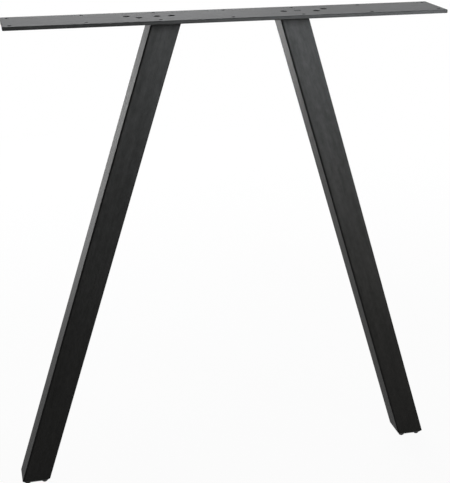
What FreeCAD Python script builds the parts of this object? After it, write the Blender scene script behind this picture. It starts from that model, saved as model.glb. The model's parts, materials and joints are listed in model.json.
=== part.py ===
"""Trestle table leg: a drilled steel top plate on two splayed square tubes.

The leg stands on plastic foot plugs pressed into the mitred tube ends.
X runs along the plate, Y across it and Z up. The origin is on the floor,
midway between the feet. Sizes are in millimetres and degrees.
"""
import FreeCAD, Part
import math
import os

import Sketcher

# Driving dimensions, one spreadsheet cell each
SIZES = {
    "overall_height": 700.0,
    "leg_spacing": 180.0,
    "leg_splay": 17.3,
    # Top plate
    "plate_length": 620.0,
    "plate_width": 80.0,
    "plate_thickness": 5.0,
    "plate_corner_round": 1.5,
    "plate_edge_round": 1.0,
    # Screw holes in two rows along the plate's long edges
    "screw_hole_diameter": 5.0,
    "screw_hole_edge": 10.0,
    "screw_hole_columns": 7,
    # Two bolt holes outboard of each tube, set on a diagonal
    "bolt_hole_diameter": 9.5,
    "bolt_hole_offset": 36.0,
    "bolt_hole_step_along": 15.0,
    "bolt_hole_front": 7.0,
    "bolt_hole_back": 8.0,
    # Two vent holes into the top of each tube
    "vent_hole_diameter": 9.5,
    "vent_hole_spacing": 20.0,
    "plug_weld_sink": 0.3,
    # Leg tubes
    "tube_size": 40.0,
    "tube_wall": 2.0,
    "tube_corner_round": 3.0,
    "bore_corner_round": 1.0,
    # Fillet weld round each tube, under the plate
    "weld_leg": 4.0,
    "weld_toe": 0.6,
    # Foot plugs: shank inside the tube
    "plug_shank_length": 32.0,
    "plug_shank_gap": 1.5,
    "plug_wall": 2.5,
    "plug_fin_count": 4,
    "plug_fin_pitch": 6.0,
    "plug_fin_thickness": 1.2,
    "plug_fin_clearance": 0.1,
    "plug_fin_corner_gap": 5.0,
    # Foot plugs: head below the tube
    "plug_flange_inset": 0.8,
    "plug_sole_drop": 3.8,
    "plug_sole_bevel": 2.8,
    "plug_sole_corner_round": 1.2,
    # Round nubs that stand on the floor
    "nub_diameter": 8.4,
    "nub_height": 3.2,
    "nub_edge_bevel": 1.0,
    "nub_inset": 8.2,
}

# Sizes worked out from the driving dimensions
FOOT_LIFT = "(dims.plug_sole_drop + dims.nub_height)"
PLATE_UNDERSIDE = "(dims.overall_height - dims.plate_thickness)"
LEG_RISE = f"({PLATE_UNDERSIDE} - {FOOT_LIFT})"
LEG_LENGTH = f"({LEG_RISE} / cos(dims.leg_splay))"
FOOT_REACH = f"(dims.leg_spacing / 2 + {LEG_RISE} * tan(dims.leg_splay))"
MITRE_RISE = "(dims.tube_size / 2 * tan(dims.leg_splay))"
TUBE_MITRED_WIDTH = "(dims.tube_size / cos(dims.leg_splay))"
BORE_SIZE = "(dims.tube_size - 2 * dims.tube_wall)"
SHANK_SIZE = f"({BORE_SIZE} - 2 * dims.plug_shank_gap)"
SHANK_HOLLOW_SIZE = f"({SHANK_SIZE} - 2 * dims.plug_wall)"
FIN_SIZE = f"({BORE_SIZE} - 2 * dims.plug_fin_clearance)"
FIN_SPAN = f"({BORE_SIZE} - 2 * dims.plug_fin_corner_gap)"
# Turns a sketch in a leaning body level with the floor
LEVEL = "-dims.leg_splay"

Vector = FreeCAD.Vector
Y_AXIS = Vector(0, 1, 0)
Z_AXIS = Vector(0, 0, 1)
SAME_HEIGHT = 0.01
# The right leg is the left one turned half round about the vertical
LEG_TURNS = {"left": 0, "right": 180}

doc = FreeCAD.newDocument("trestle_table_leg")
sheet = doc.addObject("Spreadsheet::Sheet", "dims")
for row, (alias, value) in enumerate(SIZES.items(), start=1):
    sheet.set(f"A{row}", alias)
    sheet.set(f"B{row}", str(value))
    sheet.setAlias(f"B{row}", alias)
doc.recompute()


def number(expression):
    """Return what an expression of the sheet's sizes comes to now."""
    return float(sheet.evalExpression(expression))


def new_body(label):
    """Add a body whose label names its file."""
    body = doc.addObject("PartDesign::Body", label)
    body.Label = label
    return body


def origin_feature(body, role):
    """Return one of the body's own origin planes or axes."""
    return next(item for item in body.Origin.OriginFeatures if item.Role == role)


def new_sketch(body, name, role="XY_Plane"):
    """Add a sketch on one of the body's origin planes."""
    sketch = body.newObject("Sketcher::SketchObject", name)
    sketch.AttachmentSupport = [(origin_feature(body, role), "")]
    sketch.MapMode = "FlatFace"
    return sketch


def tilted_sketch(body, name, tilt, height="0"):
    """Add a sketch turned about the body's Y axis, then moved along its own normal."""
    sketch = new_sketch(body, name)
    sketch.AttachmentOffset = FreeCAD.Placement(Vector(), FreeCAD.Rotation(Y_AXIS, 1))
    sketch.setExpression("AttachmentOffset.Rotation.Angle", tilt)
    sketch.setExpression("AttachmentOffset.Base.x", f"({height}) * sin({tilt})")
    sketch.setExpression("AttachmentOffset.Base.z", f"({height}) * cos({tilt})")
    return sketch


def drive(sketch, constraint, name, expression):
    """Add a named dimension to a sketch and bind it to an expression."""
    index = sketch.addConstraint(constraint)
    sketch.renameConstraint(index, name)
    sketch.setExpression(f"Constraints.{name}", expression)


def four_sides(sketch, points):
    """Draw a closed four-sided outline and return its lines."""
    sides = [Part.LineSegment(a, b) for a, b in zip(points, points[1:] + points[:1])]
    lines = sketch.addGeometry(sides, False)
    for here, following in zip(lines, lines[1:] + lines[:1]):
        sketch.addConstraint(Sketcher.Constraint("Coincident", here, 2, following, 1))
    return lines


def rectangle(sketch, name, width, depth):
    """Draw a square-cornered rectangle, centred on the sketch's origin."""
    half_width = number(width) / 2
    half_depth = number(depth) / 2
    front, right, back, left = four_sides(sketch, [
        Vector(-half_width, -half_depth, 0),
        Vector(half_width, -half_depth, 0),
        Vector(half_width, half_depth, 0),
        Vector(-half_width, half_depth, 0),
    ])
    for line in (front, back):
        sketch.addConstraint(Sketcher.Constraint("Horizontal", line))
    for line in (right, left):
        sketch.addConstraint(Sketcher.Constraint("Vertical", line))
    sketch.addConstraint(Sketcher.Constraint("Symmetric", front, 1, back, 1, -1, 1))
    width_now = Sketcher.Constraint("DistanceX", front, 1, front, 2, 2 * half_width)
    depth_now = Sketcher.Constraint("DistanceY", right, 1, right, 2, 2 * half_depth)
    drive(sketch, width_now, f"{name}_width", width)
    drive(sketch, depth_now, f"{name}_depth", depth)


def rounded_rectangle(sketch, name, width, depth, corner_round):
    """Draw a rectangle with rounded corners, centred on the sketch's origin."""
    half_width = number(width) / 2
    half_depth = number(depth) / 2
    radius = number(corner_round)
    flat_x = half_width - radius
    flat_y = half_depth - radius
    quarter = math.pi / 2

    def corner(x, y, turn):
        circle = Part.Circle(Vector(x, y, 0), Z_AXIS, radius)
        return Part.ArcOfCircle(circle, turn * quarter, (turn + 1) * quarter)

    def side(x0, y0, x1, y1):
        return Part.LineSegment(Vector(x0, y0, 0), Vector(x1, y1, 0))

    outline = [
        side(-flat_x, -half_depth, flat_x, -half_depth),
        corner(flat_x, -flat_y, -1),
        side(half_width, -flat_y, half_width, flat_y),
        corner(flat_x, flat_y, 0),
        side(flat_x, half_depth, -flat_x, half_depth),
        corner(-flat_x, flat_y, 1),
        side(-half_width, flat_y, -half_width, -flat_y),
        corner(-flat_x, -flat_y, 2),
    ]
    ids = sketch.addGeometry(outline, False)
    for here, following in zip(ids, ids[1:] + ids[:1]):
        sketch.addConstraint(Sketcher.Constraint("Tangent", here, 2, following, 1))
    front, right, back, left = ids[0::2]
    corners = ids[1::2]
    for line in (front, back):
        sketch.addConstraint(Sketcher.Constraint("Horizontal", line))
    for line in (right, left):
        sketch.addConstraint(Sketcher.Constraint("Vertical", line))
    for other in corners[1:]:
        sketch.addConstraint(Sketcher.Constraint("Equal", corners[0], other))
    sketch.addConstraint(Sketcher.Constraint("Symmetric", corners[1], 3, corners[3], 3, -1, 1))
    width_now = Sketcher.Constraint("DistanceX", left, 1, right, 1, 2 * half_width)
    depth_now = Sketcher.Constraint("DistanceY", front, 1, back, 1, 2 * half_depth)
    radius_now = Sketcher.Constraint("Radius", corners[0], radius)
    drive(sketch, width_now, f"{name}_width", width)
    drive(sketch, depth_now, f"{name}_depth", depth)
    drive(sketch, radius_now, f"{name}_radius", corner_round)


def circle_at(sketch, name, x, y, diameter):
    """Draw a circle whose centre and diameter follow expressions."""
    centre = Vector(number(x), number(y), 0)
    circle = Part.Circle(centre, Z_AXIS, number(diameter) / 2)
    index = sketch.addGeometry(circle, False)
    across = Sketcher.Constraint("DistanceX", -1, 1, index, 3, centre.x)
    along = Sketcher.Constraint("DistanceY", -1, 1, index, 3, centre.y)
    size = Sketcher.Constraint("Diameter", index, number(diameter))
    drive(sketch, across, f"{name}_x", x)
    drive(sketch, along, f"{name}_y", y)
    drive(sketch, size, f"{name}_diameter", diameter)


def pad(body, name, sketch, length, downwards=False):
    """Pad a sketch by a length that follows an expression."""
    feature = body.newObject("PartDesign::Pad", name)
    feature.Profile = sketch
    feature.Reversed = downwards
    feature.setExpression("Length", length)
    doc.recompute()
    return feature


def cut_through(body, name, sketch):
    """Pocket a sketch through the whole body, both ways."""
    volume_before = body.Shape.Volume
    feature = body.newObject("PartDesign::Pocket", name)
    feature.Profile = sketch
    feature.Type = "ThroughAll"
    feature.Midplane = True
    doc.recompute()
    if body.Shape.Volume >= volume_before:
        raise RuntimeError(f"{name} cuts nothing")
    return feature


def edge_names(base, chosen):
    """Name the edges of a feature that the test picks out."""
    names = []
    for index, edge in enumerate(base.Shape.Edges, start=1):
        if chosen(edge):
            names.append(f"Edge{index}")
    return names


def edges_at(height, tilt="0"):
    """Return a test for edges that lie level at a height, once the body is tilted upright."""
    upright = FreeCAD.Rotation(Y_AXIS, number(tilt))
    level = number(height)

    def lies_level(edge):
        heights = [upright.multVec(vertex.Point).z for vertex in edge.Vertexes]
        return all(abs(each - level) < SAME_HEIGHT for each in heights)

    return lies_level


def round_edges(body, name, base, chosen, radius):
    """Fillet the edges of a feature that the test picks out."""
    feature = body.newObject("PartDesign::Fillet", name)
    feature.Base = (base, edge_names(base, chosen))
    feature.setExpression("Radius", radius)
    doc.recompute()
    return feature


def bevel_edges(body, name, base, chosen, size):
    """Chamfer the edges of a feature that the test picks out."""
    feature = body.newObject("PartDesign::Chamfer", name)
    feature.Base = (base, edge_names(base, chosen))
    feature.setExpression("Size", size)
    doc.recompute()
    return feature


def mirror_across_middle(body, name, features):
    """Repeat features on the other side of the plate's middle."""
    feature = body.newObject("PartDesign::Mirrored", name)
    feature.Originals = features
    feature.MirrorPlane = (origin_feature(body, "YZ_Plane"), [""])
    body.Tip = feature
    doc.recompute()
    return feature


def repeat(body, name, features, axis, length, count):
    """Repeat features in a row of the given length."""
    feature = body.newObject("PartDesign::LinearPattern", name)
    feature.Originals = features
    feature.Direction = (origin_feature(body, axis), [""])
    feature.setExpression("Length", length)
    feature.setExpression("Occurrences", count)
    body.Tip = feature
    doc.recompute()
    return feature


def mitre_cut(body, name, height, upwards):
    """Saw a leg piece off along the horizontal, above or below a height on its axis."""
    sketch = new_sketch(body, f"{name}_sketch", "XZ_Plane")
    sketch.setExpression("AttachmentOffset.Base.y", height)
    reach = number("dims.tube_size")
    slope_rise = 2 * number(MITRE_RISE)
    far = reach if upwards else -reach
    saw_line, right, end, left = four_sides(sketch, [
        Vector(-reach, -slope_rise, 0),
        Vector(reach, slope_rise, 0),
        Vector(reach, far, 0),
        Vector(-reach, far, 0),
    ])
    sketch.addConstraint(Sketcher.Constraint("Vertical", right))
    sketch.addConstraint(Sketcher.Constraint("Vertical", left))
    sketch.addConstraint(Sketcher.Constraint("Horizontal", end))
    sketch.addConstraint(Sketcher.Constraint("Symmetric", saw_line, 1, saw_line, 2, -1, 1))
    width_now = Sketcher.Constraint("DistanceX", saw_line, 1, saw_line, 2, 2 * reach)
    rise_now = Sketcher.Constraint("DistanceY", saw_line, 1, saw_line, 2, 2 * slope_rise)
    far_now = Sketcher.Constraint("DistanceY", -1, 1, end, 1, far)
    drive(sketch, width_now, "saw_width", "2 * dims.tube_size")
    drive(sketch, rise_now, "saw_rise", f"4 * {MITRE_RISE}")
    drive(sketch, far_now, "saw_reach", "dims.tube_size" if upwards else "-dims.tube_size")
    return cut_through(body, name, sketch)


def place_on_side(body, side, position, lean="0"):
    """Place a piece as it sits on the left leg, then turn it round to its own side."""
    turn = f"placement(vector(0; 0; 0); rotation(vector(0; 0; 1); {LEG_TURNS[side]}))"
    left_place = f"placement({position}; rotation(vector(0; 1; 0); {lean}))"
    body.setExpression("Placement", f"{turn} * {left_place}")


def stand_on_foot(body, side):
    """Lean a leg piece inwards from the middle of the tube's lower end."""
    place_on_side(body, side, f"vector(-{FOOT_REACH}; 0; {FOOT_LIFT})", "dims.leg_splay")


def make_top_plate():
    """Flat bar with rounded edges, two rows of screw holes, bolt holes and vent holes."""
    body = new_body("top_plate")
    outline = new_sketch(body, "plate_outline")
    rounded_rectangle(outline, "plate", "dims.plate_length", "dims.plate_width", "dims.plate_corner_round")
    bar = pad(body, "plate_bar", outline, "dims.plate_thickness")

    def lies_flat(edge):
        return edge.BoundBox.ZLength < SAME_HEIGHT

    edge_round = "min(dims.plate_edge_round; dims.plate_thickness / 3)"
    round_edges(body, "plate_edges", bar, lies_flat, edge_round)

    first_column = "dims.screw_hole_edge - dims.plate_length / 2"
    row_offset = "dims.plate_width / 2 - dims.screw_hole_edge"
    screws = new_sketch(body, "screw_hole_sketch")
    circle_at(screws, "front", first_column, f"-({row_offset})", "dims.screw_hole_diameter")
    circle_at(screws, "back", first_column, row_offset, "dims.screw_hole_diameter")
    screw_column = cut_through(body, "screw_hole_column", screws)
    row_length = "dims.plate_length - 2 * dims.screw_hole_edge"
    repeat(body, "screw_hole_rows", [screw_column], "X_Axis", row_length, "dims.screw_hole_columns")

    tube_centre = "dims.leg_spacing / 2"
    near = f"{tube_centre} + dims.bolt_hole_offset"
    bolts = new_sketch(body, "bolt_hole_sketch")
    circle_at(bolts, "near", near, "-dims.bolt_hole_front", "dims.bolt_hole_diameter")
    far = f"{near} + dims.bolt_hole_step_along"
    circle_at(bolts, "far", far, "dims.bolt_hole_back", "dims.bolt_hole_diameter")
    bolt_pair = cut_through(body, "bolt_hole_pair", bolts)
    mirror_across_middle(body, "bolt_hole_pairs", [bolt_pair])

    vents = new_sketch(body, "vent_hole_sketch")
    half_spacing = "dims.vent_hole_spacing / 2"
    circle_at(vents, "inner", f"{tube_centre} - {half_spacing}", "0", "dims.vent_hole_diameter")
    circle_at(vents, "outer", f"{tube_centre} + {half_spacing}", "0", "dims.vent_hole_diameter")
    vent_pair = cut_through(body, "vent_hole_pair", vents)
    mirror_across_middle(body, "vent_hole_pairs", [vent_pair])
    body.setExpression("Placement.Base.z", PLATE_UNDERSIDE)
    return body


def make_plug_weld():
    """Weld metal that fills the right tube's outer vent hole, a little below flush."""
    filling = doc.addObject("Part::Cylinder", "right_plug_weld")
    filling.Label = "right_plug_weld"
    filling.setExpression("Radius", "dims.vent_hole_diameter / 2")
    filling.setExpression("Height", "dims.plate_thickness - dims.plug_weld_sink")
    filling.setExpression("Placement.Base.x", "dims.leg_spacing / 2 + dims.vent_hole_spacing / 2")
    filling.setExpression("Placement.Base.z", PLATE_UNDERSIDE)
    return filling


def make_leg_tube(side):
    """Square tube, mitred level with the floor at its foot and with the plate at its head."""
    body = new_body(f"{side}_leg_tube")
    section = new_sketch(body, f"{side}_tube_section")
    section.setExpression("AttachmentOffset.Base.z", f"-{MITRE_RISE}")
    rounded_rectangle(section, "outer", "dims.tube_size", "dims.tube_size", "dims.tube_corner_round")
    rounded_rectangle(section, "bore", BORE_SIZE, BORE_SIZE, "dims.bore_corner_round")
    pad(body, f"{side}_tube_blank", section, f"{LEG_LENGTH} + 2 * {MITRE_RISE}")
    mitre_cut(body, f"{side}_tube_foot_mitre", "0", upwards=False)
    mitre_cut(body, f"{side}_tube_head_mitre", LEG_LENGTH, upwards=True)
    stand_on_foot(body, side)
    return body


def make_weld_bead(side):
    """Fillet weld all round the tube's head, with a sloping face and thin toes."""
    body = new_body(f"{side}_weld_bead")
    outline = new_sketch(body, f"{side}_weld_outline")
    outline.setExpression("AttachmentOffset.Base.x", "-dims.weld_leg / 2 * tan(dims.leg_splay)")
    rounded_rectangle(
        outline,
        "weld",
        f"{TUBE_MITRED_WIDTH} + 2 * dims.weld_leg",
        "dims.tube_size + 2 * dims.weld_leg",
        "dims.tube_corner_round + dims.weld_leg",
    )
    metal = pad(body, f"{side}_weld_metal", outline, "dims.weld_leg", downwards=True)
    face = "dims.weld_leg - min(dims.weld_toe; dims.weld_leg / 2)"
    bevel_edges(body, f"{side}_weld_face", metal, edges_at("-dims.weld_leg"), face)
    tube_room = tilted_sketch(body, f"{side}_weld_tube_section", "dims.leg_splay")
    rounded_rectangle(tube_room, "tube", "dims.tube_size", "dims.tube_size", "dims.tube_corner_round")
    cut_through(body, f"{side}_weld_tube_room", tube_room)
    place_on_side(body, side, f"vector(-dims.leg_spacing / 2; 0; {PLATE_UNDERSIDE})")
    return body


def make_foot_plug(side):
    """Moulded plug: hollow finned shank in the tube, bevelled head and four nubs below it."""
    body = new_body(f"{side}_foot_plug")
    shank = new_sketch(body, f"{side}_shank_section")
    shank.setExpression("AttachmentOffset.Base.z", f"-{MITRE_RISE}")
    rectangle(shank, "shank", SHANK_SIZE, SHANK_SIZE)
    pad(body, f"{side}_shank", shank, f"dims.plug_shank_length + {MITRE_RISE}")
    mitre_cut(body, f"{side}_shank_mitre", "0", upwards=False)

    fins_length = "dims.plug_fin_pitch * (dims.plug_fin_count - 1)"
    lowest_fin = f"dims.plug_shank_length - dims.plug_fin_thickness - {fins_length}"
    lowest_fins = []
    for name, width, depth in (("side_fin", FIN_SIZE, FIN_SPAN), ("face_fin", FIN_SPAN, FIN_SIZE)):
        fin = new_sketch(body, f"{side}_{name}_section")
        fin.setExpression("AttachmentOffset.Base.z", lowest_fin)
        rectangle(fin, "fin", width, depth)
        lowest_fins.append(pad(body, f"{side}_{name}", fin, "dims.plug_fin_thickness"))
    repeat(body, f"{side}_fins", lowest_fins, "Z_Axis", fins_length, "dims.plug_fin_count")
    hollow = new_sketch(body, f"{side}_hollow_section")
    rectangle(hollow, "hollow", SHANK_HOLLOW_SIZE, SHANK_HOLLOW_SIZE)
    cut_through(body, f"{side}_shank_hollow", hollow)

    head_outline = tilted_sketch(body, f"{side}_head_outline", LEVEL)
    bevel = "min(dims.plug_sole_bevel; dims.plug_sole_drop * 0.9)"
    rounded_rectangle(
        head_outline,
        "head",
        f"{TUBE_MITRED_WIDTH} - 2 * dims.plug_flange_inset",
        "dims.tube_size - 2 * dims.plug_flange_inset",
        f"{bevel} + dims.plug_sole_corner_round",
    )
    head = pad(body, f"{side}_head", head_outline, "dims.plug_sole_drop", downwards=True)
    sole_edges = edges_at("-dims.plug_sole_drop", "dims.leg_splay")
    bevel_edges(body, f"{side}_sole_bevel", head, sole_edges, bevel)

    nub_circles = tilted_sketch(body, f"{side}_nub_circles", LEVEL, "-dims.plug_sole_drop")
    nub_x = f"({TUBE_MITRED_WIDTH} / 2 - dims.nub_inset)"
    nub_y = "(dims.tube_size / 2 - dims.nub_inset)"
    for name, x, y in (
        ("front_left", f"-{nub_x}", f"-{nub_y}"),
        ("front_right", nub_x, f"-{nub_y}"),
        ("back_right", nub_x, nub_y),
        ("back_left", f"-{nub_x}", nub_y),
    ):
        circle_at(nub_circles, name, x, y, "dims.nub_diameter")
    nubs = pad(body, f"{side}_nubs", nub_circles, "dims.nub_height", downwards=True)
    floor_edges = edges_at(f"-{FOOT_LIFT}", "dims.leg_splay")
    nub_bevel = "min(dims.nub_edge_bevel; dims.nub_height / 2; dims.nub_diameter / 3)"
    bevel_edges(body, f"{side}_nub_bevels", nubs, floor_edges, nub_bevel)
    stand_on_foot(body, side)
    return body


def check_and_export(nodes):
    """Stop on a failed feature or a bad shape, then write one file for each sub-part."""
    doc.recompute()
    for item in doc.Objects:
        if {"Invalid", "Error"} & set(item.State):
            raise RuntimeError(f"{item.Name} failed: {item.State}")
    for node in nodes:
        if node.Shape.isNull() or not node.Shape.isValid():
            raise RuntimeError(f"{node.Label} has no valid shape")
    os.makedirs("parts", exist_ok=True)
    for node in nodes:
        node.Shape.exportStep(f"parts/{node.Label}.step")
        box = node.Shape.BoundBox
        print(f"{node.Label}: {len(node.Shape.Solids)} solid, {node.Shape.Volume:.0f} mm3, "
              f"z {box.ZMin:.2f} to {box.ZMax:.2f}, x {box.XMin:.2f} to {box.XMax:.2f}")


sub_parts = [make_top_plate(), make_plug_weld()]
for leg_side in LEG_TURNS:
    sub_parts.append(make_leg_tube(leg_side))
    sub_parts.append(make_weld_bead(leg_side))
    sub_parts.append(make_foot_plug(leg_side))
check_and_export(sub_parts)
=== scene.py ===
"""Looks of the trestle table leg: black powder coat, weld beads and moulded foot plugs.

Lengths are in metres, in the CAD model's own frame: X along the plate, Y to the back, Z up.
"""

import json
import math

import bpy
from mathutils import Matrix, Vector, noise

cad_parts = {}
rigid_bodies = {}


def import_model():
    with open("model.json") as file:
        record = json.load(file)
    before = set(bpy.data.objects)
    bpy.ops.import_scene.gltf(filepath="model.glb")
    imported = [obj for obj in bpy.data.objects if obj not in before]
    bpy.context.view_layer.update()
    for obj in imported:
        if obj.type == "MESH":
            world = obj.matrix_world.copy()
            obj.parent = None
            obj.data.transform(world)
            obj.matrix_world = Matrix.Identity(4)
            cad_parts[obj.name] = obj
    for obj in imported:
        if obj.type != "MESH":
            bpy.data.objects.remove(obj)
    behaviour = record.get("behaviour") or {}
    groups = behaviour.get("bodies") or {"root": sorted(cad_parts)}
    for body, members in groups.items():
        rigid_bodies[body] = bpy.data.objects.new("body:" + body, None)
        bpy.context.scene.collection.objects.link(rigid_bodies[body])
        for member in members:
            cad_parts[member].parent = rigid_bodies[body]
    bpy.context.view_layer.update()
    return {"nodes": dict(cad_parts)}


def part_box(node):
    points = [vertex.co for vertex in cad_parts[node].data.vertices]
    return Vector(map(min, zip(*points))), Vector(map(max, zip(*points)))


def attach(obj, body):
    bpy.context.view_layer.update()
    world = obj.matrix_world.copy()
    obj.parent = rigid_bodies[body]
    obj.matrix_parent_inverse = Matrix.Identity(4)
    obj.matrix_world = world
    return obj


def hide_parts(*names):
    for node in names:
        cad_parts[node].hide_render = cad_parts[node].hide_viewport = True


for leftover in list(bpy.data.objects):
    bpy.data.objects.remove(leftover)
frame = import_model()
nodes = frame["nodes"]

# Sizes of the part, read from the frame where its boxes give them
LEG_SPLAY = math.radians(17.3)
LEG_LEANS = {"left": 1, "right": -1}
TUBE_LOW, TUBE_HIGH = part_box("left_leg_tube")
TUBE_SIZE = TUBE_HIGH.y - TUBE_LOW.y
TUBE_CORNER = 0.003
TUBE_HALF_MITRE = TUBE_SIZE / 2 / math.cos(LEG_SPLAY)
HEAD_REACH = TUBE_HALF_MITRE - TUBE_HIGH.x
PLATE_UNDERSIDE = TUBE_HIGH.z
WELD_LEG = PLATE_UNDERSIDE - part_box("left_weld_bead")[0].z

# Black powder coat: how its patterns stretch along each axis, their scales and depths, and the shades
TUBE_STREAK = (110, 110, 7)
TUBE_BLOTCH = (1, 1, 0.45)
PLATE_STREAK = (7, 110, 110)
PLATE_BLOTCH = (0.45, 1, 1)
EVEN = (1, 1, 1)
MOTTLE_SCALE = 150.0
PEEL_SCALE = 420.0
SPECK_SCALE = 950.0
WAVE_DEPTH = 0.0005
PEEL_DEPTH = 0.00012
SPECK_DEPTH = 0.00002
COAT_EDGE = 0.00035
COAT_SPECULAR = 0.11
COAT_ROUGHNESS = (0.655, 0.675)
SPECK_ROUGHNESS = (-0.03, 0.03)
COAT_DARK = (0.0162, 0.0161, 0.0155, 1)
COAT_LIGHT = (0.0276, 0.0273, 0.0265, 1)
COAT_THIN = (0.020, 0.020, 0.020, 1)
COAT_THIN_WIDTH = 0.0011

# Painted shade on the coat's corners, hole rims and hole walls: a near-black colour blended in there,
# with less specular
COAT_PAINTED_SHADE = (0.003, 0.003, 0.003, 1)
PAINTED_SHADE_SPECULAR = 0.01
CORNER_PAINTED_SHADE = 0.6
HOLE_RIM = 0.0017
HOLE_RIM_PAINTED_SHADE = 0.9
HOLE_REACH = 0.014

# Black moulded plastic
PLASTIC_DARK = (0.0045, 0.0045, 0.0047, 1)
PLASTIC_LIGHT = (0.0085, 0.0085, 0.0085, 1)
PLASTIC_SCUFFED = (0.032, 0.031, 0.030, 1)
PLASTIC_ROUGHNESS = (0.55, 0.7)
PLASTIC_SPECULAR = 0.3
MOULD_EDGE = 0.0006
CLOUD_SCALE = 160.0
GRAIN_SCALE = 1900.0
GRAIN_DEPTH = 0.00003
SCUFF_SCALE = 700.0
SCUFF_STRETCH = (1, 0.25, 1)
SCUFF_HEIGHTS = (0.0003, 0.0018)
SCUFFED_EDGE = 0.0008

# Weld beads
RIPPLE_PITCH = 0.0031
RIPPLE_DEPTH = 0.00028
RIPPLE_SWEEP = 0.42
BEAD_BULGE = 0.00055
BEAD_UNEVENNESS = 0.0003
BEAD_UNEVENNESS_SCALE = 160
BEAD_SIDE_STEP = 0.01
BEAD_PROFILE_STEPS = 10
BEAD_POINT_SPACING = 0.0005

# Filling of the vent hole
FILLING_RINGS = 14
FILLING_POINTS = 64
FILLING_CROWN = 0.00012
FILLING_RIPPLE = 0.00008
FILLING_RIPPLE_COUNT = 3.5
FILLING_ROUGHNESS = 0.0001
FILLING_GRAIN = 900

# Camera, fitted to the photograph of 450 by 483 pixels
IMAGE_LONG_SIDE = 483
FOCAL_PIXELS = 1100.3
PRINCIPAL_POINT_RISE = 16.75
CAMERA_PLACE = Vector((-0.3627, -1.4874, 0.9470))
CAMERA_TURN = math.radians(13.54)
CAMERA_PITCH = math.radians(20.04)
SENSOR_WIDTH = 36.0

# Studio: name, place, aim, width, height, spread in degrees, watts, colour
LAMPS = (
    ("back_panel", (0.2, 3.0, 0.9), (0, 0, 0.6), 1.4, 1.0, 180, 60, (0.97, 0.98, 1)),
    ("back_right_panel", (1.6, 2.6, 0.9), (0, 0, 0.6), 1.4, 1.0, 180, 29, (0.97, 0.98, 1)),
    ("back_left_strip", (-1.0, 2.4, 0.3), (0, 0, 0.5), 1.6, 0.5, 180, 28.7, (1, 1, 1)),
    ("back_floor_strip", (0.1, 2.0, 0.2), (0.1, 0, 0.55), 1.0, 0.3, 60, 2.4, (1, 1, 1)),
    ("left_leg_spot", (-0.68, 1.5, 0.1), (-0.2, 0, 0.365), 0.16, 0.06, 13, 0.0135, (1, 1, 1)),
    ("front_right_softbox", (0.6, -0.55, 0.95), (0.15, 0, 0.85), 0.4, 0.4, 70, 5.1, (0.9, 0.95, 1)),
    ("right_leg_softbox", (0.55, -0.4, 0.45), (0.3, 0, 0.4), 0.3, 0.3, 60, 0.3, (1, 1, 1)),
    ("right_low_fill", (1.6, -1.6, 0.3), (0.3, 0, 0.2), 0.8, 0.5, 90, 2.2, (1, 0.98, 0.9)),
)
AMBIENT_LIGHT = 0.08
BACKGROUND_WHITE = 1.0
FLOOR_SIZE = 30.0
FLOOR_WHITE_SHARE = 0.95
FLOOR_FADE = (0.7, 2.0)
FLOOR_COLOUR = (0.82, 0.82, 0.82, 1)
WHITE = (1, 1, 1, 1)


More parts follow.
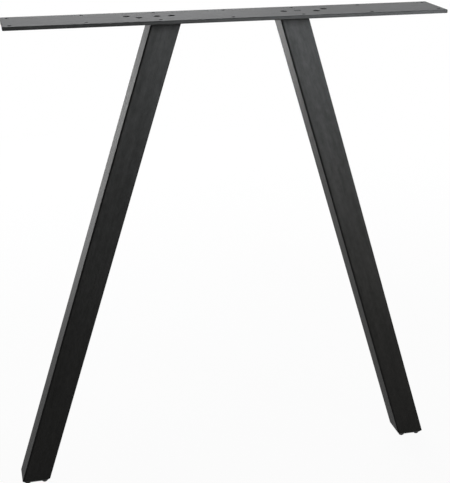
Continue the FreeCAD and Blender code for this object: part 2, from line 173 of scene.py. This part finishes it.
class Nodes:
    """A material's node tree, with short ways to add and join nodes."""

    def __init__(self, tree):
        self.tree = tree
        tree.nodes.clear()

    def add(self, kind, inputs=None, **settings):
        """Add a node, set its properties, and set or link its inputs."""
        node = self.tree.nodes.new(kind)
        for name, value in settings.items():
            setattr(node, name, value)
        for key, value in (inputs or {}).items():
            if isinstance(value, bpy.types.NodeSocket):
                self.tree.links.new(value, node.inputs[key])
            else:
                node.inputs[key].default_value = value
        return node

    def noise(self, coordinates, stretch, scale, detail=2.0, roughness=0.5):
        """Return a noise pattern's value, stretched along the piece's own axes."""
        mapping = self.add("ShaderNodeMapping", {"Vector": coordinates, "Scale": stretch})
        settings = {
            "Vector": mapping.outputs[0],
            "Scale": scale,
            "Detail": detail,
            "Roughness": roughness,
        }
        return self.add("ShaderNodeTexNoise", settings).outputs["Fac"]

    def remap(self, value, from_low, from_high, to_low, to_high):
        """Return a value moved from one range to another, and kept inside it."""
        settings = {0: value, 1: from_low, 2: from_high, 3: to_low, 4: to_high}
        return self.add("ShaderNodeMapRange", settings).outputs[0]

    def math(self, operation, first, second=0.0):
        """Return the result of a sum on one or two values."""
        return self.add("ShaderNodeMath", {0: first, 1: second}, operation=operation).outputs[0]

    def blend(self, share, first, second):
        """Return a colour between two colours."""
        settings = {"Factor": share, "A": first, "B": second}
        return self.add("ShaderNodeMix", settings, data_type="RGBA").outputs["Result"]

    def bump(self, height, distance, strength, normal=None):
        """Return a normal bent by a height pattern."""
        settings = {"Height": height, "Distance": distance, "Strength": strength}
        if normal is not None:
            settings["Normal"] = normal
        return self.add("ShaderNodeBump", settings).outputs[0]

    def rounded_normal(self, radius):
        """Return the normal of a surface whose sharp edges are softened."""
        return self.add("ShaderNodeBevel", {"Radius": radius}, samples=8).outputs[0]

    def corner_share(self):
        """Return 1 halfway round a corner between the faces in front or behind and the others."""
        surface = self.add("ShaderNodeNewGeometry").outputs["Normal"]
        depth = self.add("ShaderNodeSeparateXYZ", {0: surface}).outputs["Y"]
        square = self.math("MULTIPLY", depth, depth)
        both = self.math("MULTIPLY", square, self.math("SUBTRACT", 1.0, square))
        return self.math("MULTIPLY", both, 4.0)

    def hole_share(self, reach):
        """Return 1 on upright walls with other walls near them, as in holes, and 0 elsewhere."""
        surface = self.add("ShaderNodeNewGeometry").outputs["Normal"]
        rise = self.add("ShaderNodeSeparateXYZ", {0: surface}).outputs["Z"]
        upright = self.remap(self.math("ABSOLUTE", rise), 0.2, 0.8, 1.0, 0.0)
        openness = self.add("ShaderNodeAmbientOcclusion", {"Distance": reach}, samples=8)
        return self.math("MULTIPLY", upright, self.remap(openness.outputs["AO"], 0.7, 0.97, 1.0, 0.0))

    def edge_share(self, radius):
        """Return how near a point is to an edge, from 0 to 1."""
        surface = self.add("ShaderNodeNewGeometry")
        settings = {0: self.rounded_normal(radius), 1: surface.outputs["Normal"]}
        facing = self.add("ShaderNodeVectorMath", settings, operation="DOT_PRODUCT")
        return self.remap(facing.outputs["Value"], 0.99, 0.8, 0.0, 1.0)

    def background_rays(self):
        """Return 1 for the rays that show the background: camera, glossy and transmission."""
        path = self.add("ShaderNodeLightPath")
        seen = self.math("MAXIMUM", path.outputs["Is Camera Ray"], path.outputs["Is Glossy Ray"])
        return self.math("MAXIMUM", seen, path.outputs["Is Transmission Ray"])


def new_material(name):
    """Add an empty node material."""
    material = bpy.data.materials.new(name)
    material.use_nodes = True
    return material, Nodes(material.node_tree)


def piece_coordinates(tree, lean):
    """Return coordinates in metres whose Z runs along a piece that leans about Y."""
    place = tree.add("ShaderNodeTexCoord")
    settings = {"Vector": place.outputs["Object"], "Rotation": (0, -lean, 0)}
    return tree.add("ShaderNodeMapping", settings).outputs[0]


def powder_coat(name, lean=0.0, streak=TUBE_STREAK, blotch=TUBE_BLOTCH, drilled=False, cornered=True):
    """Satin black powder coat with orange peel, streaks and blotches, thin edges, and painted shade on
    rounded corners and, when drilled, on hole rims and hole walls.
    """
    material, tree = new_material(name)
    place = piece_coordinates(tree, lean)
    streaks = tree.noise(place, streak, 1.0, detail=4.0, roughness=0.6)
    mottle = tree.noise(place, blotch, MOTTLE_SCALE, detail=3.0, roughness=0.6)
    specks = tree.noise(place, EVEN, SPECK_SCALE, detail=1.0)
    peel = tree.noise(place, EVEN, PEEL_SCALE, detail=2.0)

    patches = tree.math("MULTIPLY", tree.math("ADD", streaks, mottle), 0.5)
    shade = tree.remap(patches, 0.38, 0.62, 0.0, 1.0)
    coat = tree.blend(shade, COAT_DARK, COAT_LIGHT)
    thinness = tree.remap(mottle, 0.35, 0.7, 0.0, 0.5)
    thin = tree.math("MULTIPLY", tree.edge_share(COAT_THIN_WIDTH), thinness)
    colour = tree.blend(thin, coat, COAT_THIN)
    specular = COAT_SPECULAR
    # Painted shade halfway round the rounded corners, and on hole rims and walls when drilled; the weld
    # coat goes without it
    if cornered:
        painted_shade = tree.math("MULTIPLY", tree.corner_share(), CORNER_PAINTED_SHADE)
        # Painted shade in the holes: darker colour along the hole rims and on hole walls hemmed in by
        # other walls, found by ambient occlusion
        if drilled:
            rim = tree.math("MULTIPLY", tree.edge_share(HOLE_RIM), HOLE_RIM_PAINTED_SHADE)
            painted_shade = tree.math("MAXIMUM", tree.math("MAXIMUM", painted_shade, rim), tree.hole_share(HOLE_REACH))
        # Painted shade: the coat is blended towards near black where the shade masks are set, and its
        # specular is lowered there
        colour = tree.blend(painted_shade, colour, COAT_PAINTED_SHADE)
        specular = tree.remap(painted_shade, 0.0, 1.0, COAT_SPECULAR, PAINTED_SHADE_SPECULAR)
    roughness = tree.math(
        "ADD",
        tree.remap(patches, 0.3, 0.7, *COAT_ROUGHNESS),
        tree.remap(specks, 0.3, 0.7, *SPECK_ROUGHNESS),
    )
    wavy = tree.bump(mottle, WAVE_DEPTH, 0.6, tree.rounded_normal(COAT_EDGE))
    coarse = tree.bump(peel, PEEL_DEPTH, 0.6, wavy)
    fine = tree.bump(specks, SPECK_DEPTH, 0.5, coarse)
    surface = tree.add("ShaderNodeBsdfPrincipled", {
        "Base Color": colour,
        "Roughness": roughness,
        "Specular IOR Level": specular,
        "Normal": fine,
    })
    tree.add("ShaderNodeOutputMaterial", {"Surface": surface.outputs[0]})
    return material


def moulded_plastic(name):
    """Black polyethylene of the foot plugs: dull, finely grained and scuffed where it stands."""
    material, tree = new_material(name)
    place = piece_coordinates(tree, 0.0)
    cloud = tree.noise(place, EVEN, CLOUD_SCALE, detail=4.0)
    grain = tree.noise(place, EVEN, GRAIN_SCALE, detail=1.0)
    scuffs = tree.noise(place, SCUFF_STRETCH, SCUFF_SCALE, detail=3.0, roughness=0.7)
    height = tree.add("ShaderNodeSeparateXYZ", {0: place}).outputs["Z"]
    underside = tree.remap(height, *SCUFF_HEIGHTS, 1.0, 0.0)
    scuffed = tree.math("MULTIPLY", underside, tree.remap(scuffs, 0.45, 0.65, 0.0, 0.7))
    rubbed = tree.math("MULTIPLY", tree.edge_share(SCUFFED_EDGE), 0.25)
    worn = tree.math("MAXIMUM", scuffed, rubbed)
    shade = tree.remap(cloud, 0.35, 0.65, 0.0, 1.0)
    plastic = tree.blend(shade, PLASTIC_DARK, PLASTIC_LIGHT)
    colour = tree.blend(worn, plastic, PLASTIC_SCUFFED)
    roughness = tree.remap(cloud, 0.3, 0.7, *PLASTIC_ROUGHNESS)
    surface = tree.add("ShaderNodeBsdfPrincipled", {
        "Base Color": colour,
        "Roughness": roughness,
        "Specular IOR Level": PLASTIC_SPECULAR,
        "Normal": tree.bump(grain, GRAIN_DEPTH, 0.6, tree.rounded_normal(MOULD_EDGE)),
    })
    tree.add("ShaderNodeOutputMaterial", {"Surface": surface.outputs[0]})
    return material


def dress(name, material):
    """Give a CAD node its finished material."""
    materials = nodes[name].data.materials
    materials.clear()
    materials.append(material)


def new_piece(name, points, faces, material, stands_for):
    """Add a mesh that rides on the part and stands for a CAD node."""
    mesh = bpy.data.meshes.new(name)
    mesh.from_pydata(points, [], faces)
    mesh.materials.append(material)
    mesh.shade_smooth()
    mesh.update()
    piece = bpy.data.objects.new(name, mesh)
    bpy.context.scene.collection.objects.link(piece)
    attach(piece, "root")
    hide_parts(stands_for)
    return piece


def rounded_outline(half_x, half_y, corner):
    """Return points round a rounded rectangle, each with its outward direction."""
    outline = []
    for quarter in range(4):
        start = quarter * math.pi / 2
        side_x = half_x if quarter in (0, 3) else -half_x
        side_y = half_y if quarter in (0, 1) else -half_y
        centre = Vector((side_x - math.copysign(corner, side_x), side_y - math.copysign(corner, side_y)))
        arc_steps = math.ceil(corner * math.pi / 2 / BEAD_POINT_SPACING)
        for step in range(arc_steps + 1):
            angle = start + math.pi / 2 * step / arc_steps
            outward = Vector((math.cos(angle), math.sin(angle)))
            outline.append((centre + corner * outward, outward))
        flat = 2 * ((half_x if quarter in (0, 2) else half_y) - corner)
        along = Vector((-outward.y, outward.x))
        flat_steps = math.ceil(flat / BEAD_POINT_SPACING)
        corner_end = outline[-1][0]
        for step in range(1, flat_steps):
            outline.append((corner_end + along * (flat * step / flat_steps), outward))
    return outline


def ring_faces(ring_count, ring_size):
    """Return quads between closed rings of points, the last ring joined to the first."""
    faces = []
    for ring in range(ring_count):
        next_ring = (ring + 1) % ring_count
        for point in range(ring_size):
            next_point = (point + 1) % ring_size
            faces.append((
                ring * ring_size + point,
                ring * ring_size + next_point,
                next_ring * ring_size + next_point,
                next_ring * ring_size + point,
            ))
    return faces


def make_weld_bead(side, material):
    """Rippled fillet weld between the leaning tube and the plate's underside."""
    outline = rounded_outline(TUBE_HALF_MITRE, TUBE_SIZE / 2, TUBE_CORNER)
    mirror = LEG_LEANS[side]
    head = Vector((-HEAD_REACH, 0, PLATE_UNDERSIDE))
    travelled = [0.0]
    for (before, _), (here, _) in zip(outline, outline[1:]):
        travelled.append(travelled[-1] + (here - before).length)
    perimeter = travelled[-1] + (outline[0][0] - outline[-1][0]).length
    ripple_count = round(perimeter / RIPPLE_PITCH)
    points = []
    for (spot, outward), distance in zip(outline, travelled):
        uneven = noise.noise(Vector((spot.x, spot.y, mirror * BEAD_SIDE_STEP)) * BEAD_UNEVENNESS_SCALE)
        reach = WELD_LEG - BEAD_UNEVENNESS * (1 + uneven)
        for step in range(BEAD_PROFILE_STEPS + 1):
            share = step / BEAD_PROFILE_STEPS
            crown = math.sin(math.pi * share)
            phase = distance / perimeter * ripple_count + RIPPLE_SWEEP * crown
            ripple = RIPPLE_DEPTH * crown ** 0.5 * (abs(math.sin(math.pi * phase)) - 1)
            swell = BEAD_BULGE * crown + ripple
            drop = reach * (1 - share) + swell * math.sqrt(0.5)
            out = reach * share + swell * math.sqrt(0.5)
            wall = spot - Vector((drop * math.tan(LEG_SPLAY), 0))
            place = wall + outward * out
            points.append(head + Vector((place.x, place.y, -min(drop, WELD_LEG))))
        points.append(head + Vector((spot.x, spot.y, 0)))
    if mirror < 0:
        points = [Vector((-point.x, point.y, point.z)) for point in points]
    profile = BEAD_PROFILE_STEPS + 2
    faces = ring_faces(len(outline), profile)
    if mirror > 0:
        faces = [tuple(reversed(face)) for face in faces]
    node = f"{side}_weld_bead"
    return new_piece(f"{side}_rippled_weld", points, faces, material, node)


def make_plug_weld(material):
    """Weld puddle in the filled vent hole, with rings where it set, below the plate's face."""
    low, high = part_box("right_plug_weld")
    centre = (low + high) / 2
    radius = (high.x - low.x) / 2
    turns = [2 * math.pi * step / FILLING_POINTS for step in range(FILLING_POINTS)]
    directions = [Vector((math.cos(turn), math.sin(turn), 0)) for turn in turns]
    top = Vector((centre.x, centre.y, high.z))

    def surface_point(flat, share):
        ripple = FILLING_RIPPLE * math.cos(share * FILLING_RIPPLE_COUNT * 2 * math.pi)
        rough = FILLING_ROUGHNESS * noise.noise((flat + Vector((0.3, 0.1, 0))) * FILLING_GRAIN)
        rise = FILLING_CROWN * (1 - share ** 2)
        return top + flat + Vector((0, 0, rise + ripple + rough))

    points = []
    for ring in range(1, FILLING_RINGS + 1):
        share = ring / FILLING_RINGS
        points += [surface_point(direction * (radius * share), share) for direction in directions]
    underside = len(points)
    points += [Vector((centre.x, centre.y, low.z)) + direction * radius for direction in directions]
    middle = len(points)
    points.append(surface_point(Vector((0, 0, 0)), 0.0))
    quads = ring_faces(FILLING_RINGS + 1, FILLING_POINTS)[:-FILLING_POINTS]
    faces = [tuple(reversed(quad)) for quad in quads]
    faces += [(middle, point, (point + 1) % FILLING_POINTS) for point in range(FILLING_POINTS)]
    faces.append(tuple(reversed(range(underside, underside + FILLING_POINTS))))
    return new_piece("right_vent_filling", points, faces, material, "right_plug_weld")


def make_floor():
    """Plain floor that keeps a soft shadow, fades to white and is clear from below."""
    mesh = bpy.data.meshes.new("floor")
    half = FLOOR_SIZE / 2
    corners = [(-half, -half, 0), (half, -half, 0), (half, half, 0), (-half, half, 0)]
    mesh.from_pydata(corners, [], [(0, 1, 2, 3)])
    floor = bpy.data.objects.new("floor", mesh)
    bpy.context.scene.collection.objects.link(floor)
    material, tree = new_material("floor_white")
    lit = tree.add("ShaderNodeBsdfDiffuse", {"Color": FLOOR_COLOUR})
    white = tree.add("ShaderNodeEmission", {"Color": WHITE, "Strength": BACKGROUND_WHITE})
    place = tree.add("ShaderNodeTexCoord").outputs["Object"]
    distance = tree.add("ShaderNodeVectorMath", {0: place}, operation="LENGTH").outputs["Value"]
    plainness = tree.remap(distance, *FLOOR_FADE, FLOOR_WHITE_SHARE, 1.0)
    share = tree.math("MULTIPLY", tree.background_rays(), plainness)
    above = tree.add("ShaderNodeMixShader", {0: share, 1: lit.outputs[0], 2: white.outputs[0]})
    under = tree.add("ShaderNodeBsdfTransparent")
    side = tree.add("ShaderNodeNewGeometry").outputs["Backfacing"]
    both = tree.add("ShaderNodeMixShader", {0: side, 1: above.outputs[0], 2: under.outputs[0]})
    tree.add("ShaderNodeOutputMaterial", {"Surface": both.outputs[0]})
    mesh.materials.append(material)


def make_world():
    """Even white surroundings, which light the object less than they show."""
    world = bpy.data.worlds.new("studio")
    world.use_nodes = True
    tree = Nodes(world.node_tree)
    strength = tree.remap(tree.background_rays(), 0.0, 1.0, AMBIENT_LIGHT, BACKGROUND_WHITE)
    light = tree.add("ShaderNodeBackground", {"Color": WHITE, "Strength": strength})
    tree.add("ShaderNodeOutputWorld", {"Surface": light.outputs[0]})
    bpy.context.scene.world = world


def make_lamps():
    """Soft studio panels round the object."""
    for name, place, aim, width, height, spread, watts, colour in LAMPS:
        lamp = bpy.data.lights.new(name, "AREA")
        lamp.shape = "RECTANGLE"
        lamp.size = width
        lamp.size_y = height
        lamp.spread = math.radians(spread)
        lamp.energy = watts
        lamp.color = colour
        holder = bpy.data.objects.new(name, lamp)
        holder.location = place
        holder.rotation_euler = (Vector(aim) - Vector(place)).to_track_quat("-Z", "Y").to_euler()
        holder.visible_camera = False
        bpy.context.scene.collection.objects.link(holder)


def make_camera():
    """Camera at the photograph's place and angle."""
    forward = Vector((
        math.sin(CAMERA_TURN) * math.cos(CAMERA_PITCH),
        math.cos(CAMERA_TURN) * math.cos(CAMERA_PITCH),
        -math.sin(CAMERA_PITCH),
    ))
    right = Vector((math.cos(CAMERA_TURN), -math.sin(CAMERA_TURN), 0))
    up = right.cross(forward)
    lens = bpy.data.cameras.new("photo_camera")
    lens.sensor_width = SENSOR_WIDTH
    lens.lens = FOCAL_PIXELS * SENSOR_WIDTH / IMAGE_LONG_SIDE
    lens.shift_y = -PRINCIPAL_POINT_RISE / IMAGE_LONG_SIDE
    holder = bpy.data.objects.new("photo_camera", lens)
    axes = Matrix((right, up, -forward)).transposed()
    holder.matrix_world = Matrix.Translation(CAMERA_PLACE) @ axes.to_4x4()
    bpy.context.scene.collection.objects.link(holder)
    bpy.context.scene.camera = holder


plate_coat = powder_coat("powder_coat_plate", 0.0, PLATE_STREAK, PLATE_BLOTCH, drilled=True)
dress("top_plate", plate_coat)
weld_coat = powder_coat("powder_coat_welds", cornered=False)
make_plug_weld(weld_coat)
plastic = moulded_plastic("foot_plastic_moulded")
for leg_side, leg_lean in LEG_LEANS.items():
    leg_coat = powder_coat(f"powder_coat_{leg_side}_leg", leg_lean * LEG_SPLAY)
    dress(f"{leg_side}_leg_tube", leg_coat)
    dress(f"{leg_side}_foot_plug", plastic)
    make_weld_bead(leg_side, weld_coat)
make_floor()
make_world()
make_lamps()
make_camera()
bpy.context.scene.view_settings.view_transform = "Standard"
